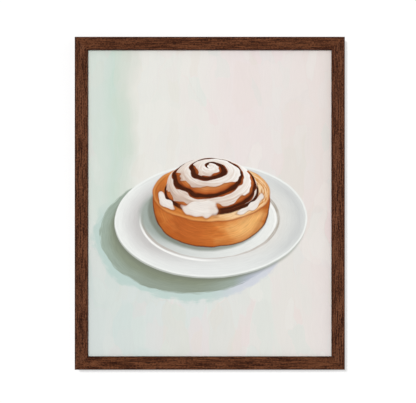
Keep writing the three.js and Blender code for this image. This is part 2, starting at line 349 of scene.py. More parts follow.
def ellipse_group():
    """An ellipse in the picture, painted with strokes that follow it round.

    It gives how far a point lies outside the ellipse in mm, its place in units of the radii, how many
    radii out it is, and the strokes' tone. A power above 2 fills the ellipse's corners out.
    """
    group = bpy.data.node_groups.new("Ellipse", "ShaderNodeTree")
    add = partial(add_node, group)
    for label, way, kind in (
        ("Place", "INPUT", "Vector"),
        ("Centre", "INPUT", "Vector"),
        ("Radii", "INPUT", "Vector"),
        ("Turn", "INPUT", "Vector"),
        ("Power", "INPUT", "Float"),
        ("Distance", "OUTPUT", "Float"),
        ("Unit place", "OUTPUT", "Vector"),
        ("Reach", "OUTPUT", "Float"),
        ("Stroke", "OUTPUT", "Float"),
    ):
        group.interface.new_socket(label, in_out=way, socket_type="NodeSocket" + kind)
    group.interface.items_tree["Power"].default_value = 2
    place, centre, radii, turn, power = group.nodes.new("NodeGroupInput").outputs[:5]
    unit = add("VectorMath DIVIDE", add("Mapping TEXTURE", place, centre, turn), radii)
    wide, high, _ = add("SeparateXYZ", add("VectorMath ABSOLUTE", unit))
    both = add("Math ADD", add("Math POWER", wide, power), add("Math POWER", high, power))
    reach = add("Math POWER", both, add("Math DIVIDE", 1.0, power))
    steepness = add("VectorMath LENGTH", add("VectorMath DIVIDE", unit, radii))
    scaled = add("Math MULTIPLY", reach, add("Math SUBTRACT", reach, 1.0))
    distance = add("Math DIVIDE", scaled, steepness)

    stroke_width, stroke_length = 2.0, 30.0  # mm
    radius = add("SeparateXYZ", radii)[0]
    lengths = add("Math DIVIDE", radius, stroke_length)
    round_it = add("VectorMath SCALE", add("VectorMath NORMALIZE", unit), lengths)
    out = add("Math MULTIPLY", reach, add("Math DIVIDE", radius, stroke_width))
    stroke_place = add("VectorMath ADD", round_it, add("CombineXYZ", 0.0, 0.0, out))
    stroke = add("TexNoise", stroke_place, 1.0, 2.0, 0.6)[0]
    results = group.nodes.new("NodeGroupOutput").inputs
    for socket, value in zip(results, (distance, unit, reach, stroke)):
        group.links.new(value, socket)
    return group


def painted_ground(add, place, settings):
    """A pale wash, laid on in upright dabs: mint at the left, ivory in the middle, blush at the right."""
    moved = swayed(add, place, mottle(add, place, (60, 110, 1), 3.0, 0.55)[1], (45, 90, 0))
    x, z, _ = add("SeparateXYZ", moved)
    half_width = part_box("art_print")[1].x / MM
    across = add("MapRange", x, -half_width, half_width)
    upper = add("ValToRGB", across, stops=[
        (0.0, "#dae2da"), (0.08, "#d3ddd5"), (0.13, settings.mint), (0.18, "#d2dcd2"), (0.22, "#e7e7e1"),
        (0.45, settings.ivory), (0.6, settings.blush), (0.78, "#e7e0dd"), (1.0, "#e4dad5"),
    ])[0]
    lower = add("ValToRGB", across, stops=[
        (0.0, settings.aqua), (0.2, "#d3ddd9"), (0.45, "#dde1de"),
        (0.7, "#e2e1dc"), (0.85, "#e4e0db"), (1.0, "#e6dddb"),
    ])[0]
    wash = glazed(add, lower, (z, -130.0, 10.0, 1.0, upper), soft=True)

    # Upright dabs of slightly different paint, broad ones and narrow ones, with soft square edges.
    fewer = add("MapRange", across, 0.1, 0.5, 0.5, 1.0)
    for size, most, softness in (((38, 85, 1), 0.6, 0.15), ((17, 40, 1), 0.42, 0.12)):
        dab = add(
            "TexVoronoi", add("VectorMath DIVIDE", moved, size), 1.0,
            feature="SMOOTH_F1", distance="CHEBYCHEV", voronoi_dimensions="2D",
            inputs={"Smoothness": softness, "Randomness": 0.8},
        )[1]
        pick, strength, _ = add("SeparateXYZ", dab)
        paints = add("ValToRGB", pick, stops=[
            (0.0, "#cfddd6"), (0.25, "#e6e7e1"), (0.45, "#ead7d8"),
            (0.6, "#e2dacd"), (0.75, "#dbdedd"), (1.0, "#edeae4"),
        ])[0]
        cover = add("Math MULTIPLY", fewer, most)
        wash = glazed(add, wash, (strength, 0.3, 1.0, cover, paints))

    bristle = mottle(add, moved, (2.4, 45, 1), 3.0, 0.6)[0]
    return toned(add, wash, bristle, 0.986, 1.014)


def painted_shadow(add, place, under, ellipse, settings):
    """The plate's shadow on the table, with a cool fringe and a lavender end."""
    shape, _, _, stroke = ellipse(place, (-31, -50, 0), (147, 96, 1))
    x, z, _ = add("SeparateXYZ", place)
    edge = add("Math ADD", shape, add("MapRange", stroke, *TONES, -2.2, 2.2))

    # The fringe lies below the plate, in blots, and is widest at the bottom.
    blot = add("TexNoise", place, 1 / 22, 2.0)[0]
    blotted = add("Math ADD", edge, add("MapRange", blot, *TONES, -5.0, 5.0))
    wider = add("MapRange", z, -60.0, -140.0, 0.0, 2.5)
    fringe_edge = add("Math SUBTRACT", blotted, wider)
    low_part = add("MapRange SMOOTHSTEP", z, 15.0, -40.0, 0.0, 0.75)
    fringe = glazed(add, "#b9d0ca", (x, -10.0, 60.0, 1.0, "#ccd0dc"), soft=True)
    under = glazed(add, under, (fringe_edge, 14.0, 6.0, low_part, fringe), soft=True)

    paint = blended(
        add, x, -180.0, 80.0,
        (0.0, "#a3b2a5"), (0.3, settings.cast_shadow), (0.62, "#929c8c"),
        (0.84, "#9eaaa0"), (0.93, "#b2b8c3"), (1.0, "#c8ccd8"),
    )
    paint = glazed(add, paint, (shape, -6.0, -24.0, 0.65, "#82886f"), soft=True)
    paint = toned(add, paint, stroke, 0.93, 1.07)
    return glazed(add, under, (edge, 1.2, -1.2, 1.0, paint))


def painted_plate(add, place, under, ellipse, settings):
    """A round porcelain plate seen at a slant: a turned-up rim, a moulded line and a flat well."""
    wide = settings.plate_width / MM / 2
    high = 0.59 * wide  # a little rounder than the bun's level circles
    radii = (wide, high, 1)
    centre = Vector((2, -27, 0))
    tilt = (0, 0, math.radians(1.5))

    # The dark gap below the rim, then the rim's underside.
    for drop, softness, strength, paint in (
        (Vector((-4, -6.5, 0)), 4.0, 0.8, "#7d8373"),
        (Vector((-0.6, -2.4, 0)), 0.6, 1.0, "#bcc0ba"),
    ):
        lower = ellipse(place, centre + drop, radii, tilt)[0]
        under = glazed(add, under, (lower, softness, -softness, strength, paint), soft=True)

    outline, unit, reach, stroke = ellipse(place, centre, radii, tilt)
    left_rim = add("ValToRGB", reach, stops=[
        (0.7, settings.plate_shade), (0.78, "#cccac8"), (0.87, "#dddddb"), (0.95, settings.plate),
    ])[0]
    right_rim = add("ValToRGB", reach, stops=[
        (0.7, "#e2e0db"), (0.83, "#dadbd8"), (0.92, "#ced0cf"), (0.985, "#d9dbd9"),
    ])[0]
    x, z, _ = add("SeparateXYZ", unit)
    face = glazed(
        add, left_rim,
        (x, -0.35, 0.6, 1.0, right_rim),
        (z, -0.4, -0.9, 0.85, "#e6e8e6"),
        (z, 0.45, 0.9, 0.8, "#dddfdd"),
        (outline, -3.6, -2.2, 0.9, "#f0f2ef"),
        soft=True,
    )
    face = painted_well(add, place, face, ellipse)

    # The bun's soft shadow on the plate.
    for middle, size, start, end, strength, paint in (
        ((-14, -19, 0), (97, 50, 1), 9.0, -4.0, 0.9, "#a3ada6"),
        ((-3, -12, 0), (96, 64, 1), 4.0, -1.5, 0.75, "#7a7f72"),
    ):
        shade = ellipse(place, middle, size)[0]
        face = glazed(add, face, (shade, start, end, strength, paint), soft=True)

    face = toned(add, face, stroke, 0.965, 1.035)
    return glazed(add, under, (outline, 0.7, -0.7, 1.0, face))


def painted_well(add, place, under, ellipse):
    """The plate's well: a flat floor inside a rounded line that the light catches at its lower left."""
    well, unit, _, stroke = ellipse(place, (1, -25, 0), (110, 64, 1))
    x, z, _ = add("SeparateXYZ", unit)
    floor_stops = (0.0, "#c0c6c3"), (0.25, "#d2d6d3"), (0.6, "#e2e4e1"), (1.0, "#ebece8")
    floor = blended(add, x, -1.0, 1.0, *floor_stops)
    line_width = add("MapRange", add("Math ABSOLUTE", x), 0.3, 1.0, 0.6, 2.6)
    from_line = add("Math DIVIDE", add("Math ABSOLUTE", well), line_width)
    broken = add("MapRange", stroke, 0.35, 0.6, 0.45, 0.95)
    line = glazed(add, "#aea599", (z, -0.2, -0.9, 1.0, "#c4bab3"))
    under = glazed(add, under, (well, 1.0, -1.0, 1.0, floor), (from_line, 1.3, 0.7, broken, line))

    # A glint lies beside the line at the lower left, and another at the right.
    for offset, corner, full, strength in ((3.6, (-1, -1, 0), 1.3, 1.0), (-4.2, (1, 0.2, 0), 0.9376, 0.8)):
        beside = add("Math ABSOLUTE", add("Math SUBTRACT", well, offset))
        facing = add("VectorMath DOT_PRODUCT", unit, corner)
        cover = add("MapRange SMOOTHSTEP", facing, 0.75, full, 0.0, strength)
        under = glazed(add, under, (beside, 2.4, 0.8, cover, "#f6f6f3"))
    return under


# The bun in the picture, in mm from the picture's middle. Its side bulges below its top edge, and its risen
# middle is half an ellipsoid, seen at a slant like the rest.
BUN_CENTRE = Vector((2.6, 8, 0))
BUN_UPPER, BUN_LOWER = 0.5, 0.826  # heights of the outline above and below that, over half its width
BUN_POWER = 2.35  # fills the outline's corners out
RIM_CENTRE = Vector((2.6, 17, 0))
SLANT = 0.49  # height over width of a level circle
DOME_CENTRE = Vector((2.6, 21, 0))
DOME_RADIUS = 75
DOME_HEIGHT = 0.6  # over its radius
TURN_PITCH = 0.335  # one turn of the roll, over the arc from the dome's top to its edge
TURN_PHASE = 0.4  # how far round the whole spiral is turned
TURN_LEAN = 0.3  # how much closer the turns lie at the back, because the middle has risen leaning back


def painted_crust(add, place, under, ellipse, settings):
    """The bun's baked side and the smooth ring of crust around its top."""
    half = settings.bun_width / MM / 2
    above = add("Math GREATER_THAN", add("SeparateXYZ", place)[1], BUN_CENTRE.y)
    radii = add("Mix VECTOR", above, (half, half * BUN_LOWER, 1), (half, half * BUN_UPPER, 1))
    lean = (0, 0, math.radians(2.5))
    body, unit, reach, stroke = ellipse(place, BUN_CENTRE, radii, lean, BUN_POWER)
    rim_radii = (half, half * SLANT, 1)
    rim, rim_unit, _, rim_stroke = ellipse(place, RIM_CENTRE, rim_radii)

    patch = mottle(add, place, (26, 16, 1))[0]
    drift = add("MapRange", patch, 0.2, 0.8, -0.18, 0.18)
    across = add("Math ADD", add("SeparateXYZ", unit)[0], drift)
    side = blended(
        add, across, -1.0, 1.0,
        (0.0, "#b5612b"), (0.07, "#cf7d3b"), (0.2, "#bb632b"), (0.36, "#c0682d"),
        (0.5, settings.crust), (0.6, "#d88c48"), (0.7, "#e6a966"), (0.79, settings.crust_light),
        (0.9, "#ebb36e"), (0.96, "#d08540"), (1.0, "#b96a2f"),
    )
    side = toned(add, side, stroke, 0.84, 1.16)
    ragged = add("Math ADD", body, add("MapRange", stroke, *TONES, -0.8, 0.8))
    side = glazed(
        add, side,
        (reach, 0.82, 1.0, 0.65, "#b0591f"),
        (ragged, -2.4, -0.6, 0.9, "#5d2c16"),
        (rim, 10.0, 1.0, 0.4, "#b55f27"),
        soft=True,
    )

    # The ring of crust slopes down to the risen middle, and gleams at the right.
    x, z, _ = add("SeparateXYZ", rim_unit)
    ring = blended(
        add, x, -1.0, 1.0,
        (0.0, "#b2622c"), (0.12, "#ca7735"), (0.3, "#d38440"), (0.48, "#db944f"),
        (0.62, "#eab980"), (0.76, "#f1cb9b"), (0.88, "#e0a261"), (1.0, "#cc8140"),
    )
    ring = toned(add, ring, rim_stroke, 0.84, 1.16)
    ring = glazed(add, ring, (rim, -9.0, -18.0, 0.5, "#b4622c"), soft=True)
    gleam = add("MapRange SMOOTHSTEP", x, -0.15, 0.45, 0.0, 0.85)
    ring = glazed(add, ring, (rim_stroke, 0.44, 0.56, gleam, "#f8dcb2"))
    ring = glazed(add, ring, (rim, -5.5, -2.5, 0.4, "#e9aa66"), soft=True)

    # A broken line marks the front of the ring's edge.
    in_front = add("MapRange", z, 0.3, -0.1, 0.0, 0.75)
    broken = add("MapRange", rim_stroke, 0.3, 0.55, 0.5, 1.0)
    line = add("Math MULTIPLY", in_front, broken)
    from_rim = add("Math ABSOLUTE", rim)
    whole = add("Math MINIMUM", body, rim)
    crust = glazed(add, side, (rim, 0.8, -0.8, 1.0, ring), (from_rim, 2.0, 0.5, line, "#a04f20"))
    return glazed(add, under, (whole, 0.7, -0.7, 1.0, crust))


def risen_middle(add, place):
    """Where a line of sight meets the bun's risen middle, a dome.

    It gives the arc from the dome's top, 1 at its edge, the angle round it, the point on it in mm, and a
    mask of where it is seen. A line of sight is (x, s z, c z) + t (0, -c, s), with s and c the slant's sine
    and cosine, in units of the dome's radius. It meets the ellipsoid x^2 + y^2 + (z / h)^2 = 1 where
    a t^2 + 2 b t + x^2 + d z^2 - 1 = 0.
    """
    s, c, h = SLANT, math.sqrt(1 - SLANT**2), DOME_HEIGHT
    a, b_per_z, d = c * c + (s / h) ** 2, c * s * (1 / h**2 - 1), s * s + (c / h) ** 2
    moved = add("VectorMath SUBTRACT", place, DOME_CENTRE)
    x, z, _ = add("SeparateXYZ", add("VectorMath SCALE", moved, 1 / DOME_RADIUS))
    b = add("Math MULTIPLY", z, b_per_z)
    z_term = add("Math MULTIPLY", add("Math MULTIPLY", z, z), d)
    x_term = add("Math MULTIPLY_ADD", x, x, -1.0)
    both_terms = add("Math ADD", z_term, x_term)
    under_root = add("Math MULTIPLY_ADD", both_terms, -a, add("Math MULTIPLY", b, b))
    root = add("Math SQRT", add("Math MAXIMUM", under_root, 0.0))
    t = add("Math DIVIDE", add("Math SUBTRACT", root, b), a)
    y = add("Math MULTIPLY_ADD", t, -c, add("Math MULTIPLY", z, s))
    up = add("Math MULTIPLY_ADD", t, s, add("Math MULTIPLY", z, c))
    level = add("VectorMath LENGTH", add("CombineXYZ", x, y, 0.0))
    arc = add("Math ARCTAN2", level, add("Math DIVIDE", up, h))
    share = add("Math MULTIPLY", arc, 2 / math.pi)
    angle = add("Math ARCTAN2", y, x)
    on_dome = add("VectorMath SCALE", add("CombineXYZ", x, y, up), DOME_RADIUS)
    seen = add("MapRange", under_root, 0.0, 0.03)
    inside = add("MapRange", share, 1.01, 0.98, 0.0, seen)
    return share, angle, on_dome, inside


def painted_swirl(add, place, under, settings):
    """The roll's risen middle: dough wound with a dark line of cinnamon, under uneven stripes of icing."""
    arc, angle, on_dome, inside = risen_middle(add, place)
    east = add("Math COSINE", angle)
    north = add("Math SINE", angle)
    heading = add("CombineXYZ", east, north, 0.0)

    # How many turns out from the middle a point lies. The turns are wound a little unevenly.
    to_edge = add("Math MULTIPLY_ADD", add("Math MULTIPLY", arc, arc), -1.0, 1.0)
    lean_back = add("Math MULTIPLY_ADD", north, TURN_LEAN, TURN_LEAN)
    closer = add("Math MULTIPLY_ADD", lean_back, to_edge, 1.0)
    share = add("Math MULTIPLY", arc, closer)
    turned = add("Math MULTIPLY_ADD", angle, 1 / math.tau, TURN_PHASE)
    winding = add("TexNoise", on_dome, 1 / 30, 1.0)[0]
    wound = add("Math ADD", turned, add("MapRange", winding, 0.2, 0.8, -0.12, 0.12))
    turns = add("Math MULTIPLY_ADD", share, 1 / TURN_PITCH, wound)
    across = add("Math FRACT", turns)

    # The nearest point of this turn's middle line, so that edges follow the turn and vary along it. An arc
    # is about 1.2 times as long as its level radius.
    turn_middle = add("Math ADD", add("Math FLOOR", turns), 0.5)
    middle_turns = add("Math SUBTRACT", turn_middle, turned)
    middle_radius = add("Math MULTIPLY", middle_turns, TURN_PITCH * DOME_RADIUS * 1.2)
    along = add("VectorMath SCALE", heading, middle_radius)
    lobe = add("TexNoise", along, 1 / 26, 0.0)[0]
    blob = add("TexNoise", on_dome, 1 / 12, 0.0)[0]
    elsewhere = add("VectorMath ADD", along, (0, 0, 130))
    drift = add("TexNoise", elsewhere, 0.7 / 26, 1.0)[0]
    streak_place = add("CombineXYZ", add("Math MULTIPLY", share, 30.0), east, north)
    streak = add("TexNoise", streak_place, 1.3, 2.0, 0.6)[0]

    # Bare dough, from a turn's inner edge to its outer one, with the cinnamon line between turns.
    thicker = add("MapRange", share, 0.08, 0.3, 0.1, 0.0)
    line_half = add("Math ADD", add("MapRange SMOOTHSTEP", drift, *TONES, 0.05, 0.1), thicker)
    from_line = add("Math MINIMUM", across, add("Math SUBTRACT", 1.0, across))
    dough = blended(
        add, add("Math SUBTRACT", from_line, line_half), 0.0, 0.4,
        (0.0, settings.cinnamon), (0.06, "#6f3114"), (0.2, "#a14f22"),
        (0.45, settings.dough), (1.0, "#d08a52"),
    )
    dough = toned(add, dough, streak, 0.8, 1.2)

    # Icing lies on each turn and hangs over its outer edge, further at the back, where that edge is hidden.
    low_edge = add("Math ADD", add("MapRange SMOOTHSTEP", drift, *TONES, 0.2, 0.1), thicker)
    high_edge = add("Math SUBTRACT", add("MapRange", north, -1.0, 0.7, 0.64, 0.9), thicker)
    lobes = add("MapRange SMOOTHSTEP", lobe, 0.25, 0.75, -0.13, 0.15)
    blobs = add("MapRange", blob, 0.25, 0.75, -0.09, 0.09)
    for bulge in (lobes, blobs):
        high_edge = add("Math ADD", high_edge, bulge)
    from_low = add("Math SUBTRACT", across, low_edge)
    from_high = add("Math SUBTRACT", high_edge, across)
    middle = add("MapRange", share, 0.08, 0.055, -0.1, 0.3)
    from_edge = add("Math MAXIMUM", add("Math MINIMUM", from_low, from_high), middle)

    # The icing is a rounded ribbon, lit from the upper right.
    span = add("Math ADD", from_low, from_high)
    tip = add("Math DIVIDE", add("Math SUBTRACT", from_low, from_high), span)
    lean = add("Math MULTIPLY", tip, add("VectorMath DOT_PRODUCT", heading, (0.75, 0.65, 0)))
    light = add("MapRange", streak, *TONES, -0.22, 0.22)
    overall = add("VectorMath DOT_PRODUCT", on_dome, (0.0035, 0.003, 0.004))
    brightness = add("Math ADD", add("Math MULTIPLY_ADD", lean, 0.22, light), overall)
    icing = blended(
        add, brightness, -0.4, 0.5,
        (0.0, "#c6ae9f"), (0.25, settings.icing_shade), (0.5, "#e6dad0"),
        (0.7, settings.icing), (1.0, "#faf7f3"),
    )
    icing = glazed(add, icing, (from_edge, 0.05, 0.0, 0.45, "#d9c0af"))
    beside = (from_edge, -0.09, 0.0, 0.45, "#5a2a14")
    swirl = glazed(add, dough, beside, (from_edge, -0.012, 0.018, 1.0, icing))
    return add("Mix RGBA", inside, under, swirl)


def painted_spills(add, place, under, ellipse, settings):
    """The dark gap around the front of the risen middle, and icing that has run over it onto the crust."""
    radii = (DOME_RADIUS, DOME_RADIUS * SLANT, 1)
    gap, unit, _, stroke = ellipse(place, DOME_CENTRE, radii)
    x, z, _ = add("SeparateXYZ", unit)
    half_width = add("MapRange", z, 0.3, -0.6, 1.0, 3.0)
    from_middle = add("Math DIVIDE", add("Math ABSOLUTE", gap), half_width)
    in_front = add("MapRange", z, 0.3, 0.1)
    under = glazed(add, under, (from_middle, 1.4, 0.7, in_front, settings.cinnamon))

    around = add("Math ARCTAN2", x, add("Math MULTIPLY", z, -1.0))
    lump = add("TexNoise", place, 1 / 15, 0.0)[0]
    uneven = add("MapRange", lump, 0.25, 0.75, -1.0, 1.0)
    icing = toned(add, settings.icing, stroke, 0.88, 1.04)

    # Each spill's bearing from the front and half its length round the ring, in degrees, how far out its
    # middle lies and half its width, in mm, and how ragged it is. Its outer side is rounded and throws a
    # shadow.
    for bearing, half_length, out, half_width, ragged in (
        (-66, 21, 6, 6, 0.45),
        (60, 30, 6, 5, 0.45),
        (-17, 27, -7, 13, 0.25),
    ):
        middle, end = math.radians(bearing), math.radians(bearing + half_length)
        lengthways = add("MapRange", around, middle, end, 0.0, 1.0, clamp=False)
        crossways = add("MapRange", gap, out, out + half_width, 0.0, 1.0, clamp=False)
        spot = add("VectorMath LENGTH", add("CombineXYZ", lengthways, crossways, 0.0))
        spill = add("Math MULTIPLY_ADD", uneven, ragged, spot)
        shadow = add("MapRange", crossways, -0.7, 0.0, 0.0, 0.6)
        shade = add("MapRange", crossways, -0.7, 0.0, 0.0, 0.5)
        rounded = glazed(add, icing, (spill, 0.6, 1.0, shade, settings.icing_shade))
        under = glazed(
            add, under, (spill, 1.35, 1.0, shadow, "#8a451d"), (spill, 1.08, 0.94, 1.0, rounded)
        )
    return under


def printed_picture(name, settings):
    """Pigment print on smooth cotton rag paper: matt, with a fine tooth."""
    made, add = new_material(name)
    low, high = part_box("art_print")
    in_mm = place_in_mm(add, (low + high) / 2)
    x, _, z = add("SeparateXYZ", in_mm)
    flat = add("CombineXYZ", x, z, 0.0)

    # A brush leaves an edge that wanders over centimetres. The plate's edges wander about a third as far.
    wobble = Vector((1, 1, 0)) * settings.wobble / MM
    sway = add("TexNoise", flat, 1 / 28, 1.5, 0.5)[1]
    place = swayed(add, flat, sway, wobble)
    steady_place = swayed(add, flat, sway, wobble * 0.35)

    ellipse = partial(add, "Group", node_tree=ellipse_group())
    colour = painted_ground(add, flat, settings)
    colour = painted_shadow(add, place, colour, ellipse, settings)
    colour = painted_plate(add, steady_place, colour, ellipse, settings)
    colour = painted_crust(add, place, colour, ellipse, settings)
    colour = painted_swirl(add, place, colour, settings)
    colour = painted_spills(add, place, colour, ellipse, settings)
    # The inks print about a tenth darker than the paints above.
    colour = add("VectorMath SCALE", colour, 0.892)

    tooth = mottle(add, in_mm, (1.2, 1, 1.2))[0]
    look = {"Base Color": colour, "Roughness": 0.8, "IOR": 1.5, "Specular IOR Level": 0.2}
    surface(add, look, tooth, 0.1, 0.02)
    return made


# ---------------- the other materials


def picture_glass():
    """Float glass with a coating against reflections: clear from in front, and a mirror only at a slant."""
    made, add = new_material("picture_glass")
    see = add("BsdfTransparent", (1, 1, 1))
    shine = add("BsdfGlossy", (1, 1, 1), 0.02)
    # A line of sight goes straight through the sheet, so its far face has to mirror as its near face does.
    far_face = add("NewGeometry")[6]
    index = add("Mix FLOAT", far_face, 1.5, 1 / 1.5)
    # The coating takes away what plain glass would mirror from in front, 4 hundredths of the light.
    share = add("MapRange", add("Fresnel", index), 0.043, 1.0, 0.0, 1.0)
    add("OutputMaterial", add("MixShader", share, see, shine))
    return made


def hardboard(settings):
    """Hardboard, wet-pressed from wood fibre: smooth, brown and flecked with fibres a few mm long."""
    made, add = new_material("hardboard")
    here = place_in_mm(add)
    cloud = add("TexNoise", here, 1 / 70, 3.0)[0]
    fleck = add("TexNoise", here, 1 / 2.5, 4.0, 0.7)[0]
    fibre = mottle(add, here, (7, 1, 1.4))[0]
    tone = add("Math MULTIPLY_ADD", cloud, 0.4, add("Math ADD", fibre, fleck))
    colour = toned(add, settings.hardboard, tone, 0.72, 1.26, (0.85, 1.55))
    surface(add, {"Base Color": colour, "Roughness": 0.7, "Specular IOR Level": 0.3}, fleck, 0.4, 0.06)
    return made


def mount_card(settings):
    """White core card, cut with a blade: its faces are matt and its edges show layers."""
    made, add = new_material("mount_card")
    layers = mottle(add, place_in_mm(add), (20, 1 / 6, 20))[0]
    colour = toned(add, settings.card, layers, 0.9, 1.04)
    look = {"Base Color": colour, "Roughness": 0.9, "Specular IOR Level": 0.2}
    add("OutputMaterial", add("BsdfPrincipled", inputs=look))
    return made


def plated_metal(name, colour, tarnish):
    """Thin stamped steel with a bright plating, dulled in patches and finely scratched."""
    made, add = new_material(name)
    here = place_in_mm(add)
    patch = add("TexNoise", here, 1 / 5, 3.0)[0]
    scratch = mottle(add, here, (9, 1, 1 / 3))[0]
    base = glazed(add, colour, (patch, 0.35, 0.75, 0.45, tarnish))
    rough = add("MapRange", add("Math ADD", patch, scratch), 0.7, 1.3, 0.3, 0.46)
    surface(add, {"Base Color": base, "Metallic": 1.0, "Roughness": rough}, scratch, 0.25, 0.03)
    return made


def wool_felt(settings):
    """Pressed wool felt: matted fibres that stand up a little at the cut edge."""
    made, add = new_material("wool_felt")
    here = place_in_mm(add)
    tangle = add("TexNoise", here, 2.2, 4.0, 0.7)[0]
    lint = add("TexNoise", here, 0.5, 2.0)[0]
    colour = toned(add, settings.felt, add("Math ADD", tangle, lint), 0.6, 1.5, (0.7, 1.3))
    look = {"Base Color": colour, "Roughness": 0.95, "Specular IOR Level": 0.15}
    surface(add, {**look, "Sheen Weight": 0.4, "Sheen Roughness": 0.5}, tangle, 0.8, 0.25)
    return made


# ---------------- shapes

MERGE = 1e-6  # points closer than this many metres are one point
MITRE_SHIFT = 0.2 * MM  # how far a rail's ends go on, almost to the corner's diagonal
BOARD_EASING = 0.3 * MM

# A hanger nail's shank radius and point, and its head's straight rim and domed crown.
NAIL_SHANK, NAIL_POINT, NAIL_RIM, NAIL_CROWN = 0.6 * MM, 1.2 * MM, 0.15 * MM, 0.35 * MM

# A felt pad's rounded edge, how far its fibres stand out at the side, how deep they're matted at the back,
# and the width of one tuft.
PAD_EASE, PAD_FUZZ, PAD_NAP, PAD_TUFT = 0.35 * MM, 0.3 * MM, 0.15 * MM, 1.1 * MM


def new_object(name, data):
    """An object in the scene with some data."""
    made = bpy.data.objects.new(name, data)
    bpy.context.scene.collection.objects.link(made)
    return made


def new_shape(name, bm, material):
    """An object of one material from a bmesh."""
    mesh = bpy.data.meshes.new(name)
    bm.to_mesh(mesh)
    bm.free()
    mesh.materials.append(material)
    return new_object(name, mesh)


def new_piece(name, bm, material, node):
    """A shaded piece from a bmesh. It rides on the frame and stands for a CAD node."""
    for face in bm.faces:
        face.smooth = True
    piece = new_shape(name, bm, material)
    even = piece.modifiers.new("Flat faces stay flat", "WEIGHTED_NORMAL")
    even.weight = 100
    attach(piece, "root")
    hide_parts(node)


def eased_copy(node, easing, mitred=False):
    """A bmesh of a CAD node with its triangles joined into whole faces and its sharp edges eased.

    A mitred piece keeps the edges of its mitres sharp, because they close against another piece.
    """
    flat, sharp = math.radians(1), math.radians(35)
    bm = bmesh.new()
    bm.from_mesh(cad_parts[node].data)
    bmesh.ops.remove_doubles(bm, verts=bm.verts, dist=MERGE)
    bmesh.ops.dissolve_limit(
        bm, angle_limit=flat, verts=bm.verts, edges=bm.edges, use_dissolve_boundaries=False
    )
    edges = [e for e in bm.edges if len(e.link_faces) == 2 and e.calc_face_angle() > sharp]
    if mitred:
        cut = {f for f in bm.faces if min(abs(f.normal.x), abs(f.normal.z)) > 0.5}
        edges = [e for e in edges if cut.isdisjoint(e.link_faces)]
    bmesh.ops.bevel(
        bm,
        geom=edges,
        offset=easing,
        offset_type="OFFSET",
        segments=2,
        profile=0.5,
        affect="EDGES",
        clamp_overlap=True,
        material=-1,
    )
    return bm


def turned_shape(profile, steps, centre):
    """A bmesh turned about the line through centre along Y, from points of radius and depth."""
    bm = bmesh.new()
    points = [bm.verts.new((centre.x + r, y, centre.z)) for r, y in profile]
    edges = [bm.edges.new(pair) for pair in zip(points, points[1:])]
    bmesh.ops.spin(
        bm,
        geom=points + edges,
        cent=centre,
        axis=(0, 1, 0),
        dvec=(0, 0, 0),
        angle=math.tau,
        steps=steps,
        use_merge=True,
    )
    bmesh.ops.remove_doubles(bm, verts=bm.verts, dist=MERGE)
    bmesh.ops.recalc_face_normals(bm, faces=bm.faces)
    return bm


# ---------------- operators


class FRAMED_PRINT_OT_rails(bpy.types.Operator):
    """Finish the four mitred rails"""

    bl_idname = "framed_print.rails"
    bl_label = "Rails"

    def execute(self, context):
        settings = context.scene.framed_print.moulding
        # The level rails came out a little warmer than the upright ones.
        level = stained_walnut("stained_walnut_level", settings, False, (0.97, 0.91, 0.81))
        upright = stained_walnut("stained_walnut_upright", settings, True, (1, 1, 1))
        for side in SIDES:
            along = 2 if side in ("left", "right") else 0
            material = upright if along else level
            bm = eased_copy(f"rail_{side}", settings.edge, mitred=True)
            # The glued mitres are closed.
            for end in (-1, 1):
                cut = {v for f in bm.faces if 0.5 < f.normal[along] * end < 0.9 for v in f.verts}
                shift = Vector((0, 0, 0))
                shift[along] = end * MITRE_SHIFT
                bmesh.ops.translate(bm, verts=list(cut), vec=shift)
            new_piece(f"{side}_rail", bm, material, f"rail_{side}")
        return {"FINISHED"}


class FRAMED_PRINT_OT_picture(bpy.types.Operator):
    """Paint the picture on its sheet and put the glass in front"""

    bl_idname = "framed_print.picture"
    bl_label = "Picture and Glass"

    def execute(self, context):
        settings = context.scene.framed_print.picture
        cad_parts["art_print"].material_slots[0].material = printed_picture("art_print", settings)
        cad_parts["glazing"].material_slots[0].material = picture_glass()
        return {"FINISHED"}


class FRAMED_PRINT_OT_boards(bpy.types.Operator):
    """Finish the mount board and the backing board"""

    bl_idname = "framed_print.boards"
    bl_label = "Boards"

    def execute(self, context):
        settings = context.scene.framed_print.hardware
        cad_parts["mount_board"].material_slots[0].material = mount_card(settings)
        bm = eased_copy("backing_board", BOARD_EASING)
        new_piece("hardboard_back", bm, hardboard(settings), "backing_board")
        return {"FINISHED"}


class FRAMED_PRINT_OT_fasteners(bpy.types.Operator):
    """Finish the retaining tabs and the mitre wedges"""

    bl_idname = "framed_print.fasteners"
    bl_label = "Tabs and Wedges"

    def execute(self, context):
        settings = context.scene.framed_print.hardware
        zinc = plated_metal("zinc_plated_steel", settings.zinc, "#85888b")
        for node in sorted(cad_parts):
            if node.startswith(("retaining_tab_", "mitre_wedge_")):
                bm = eased_copy(node, settings.burr)
                new_piece(f"{node}_eased", bm, zinc, node)
        return {"FINISHED"}


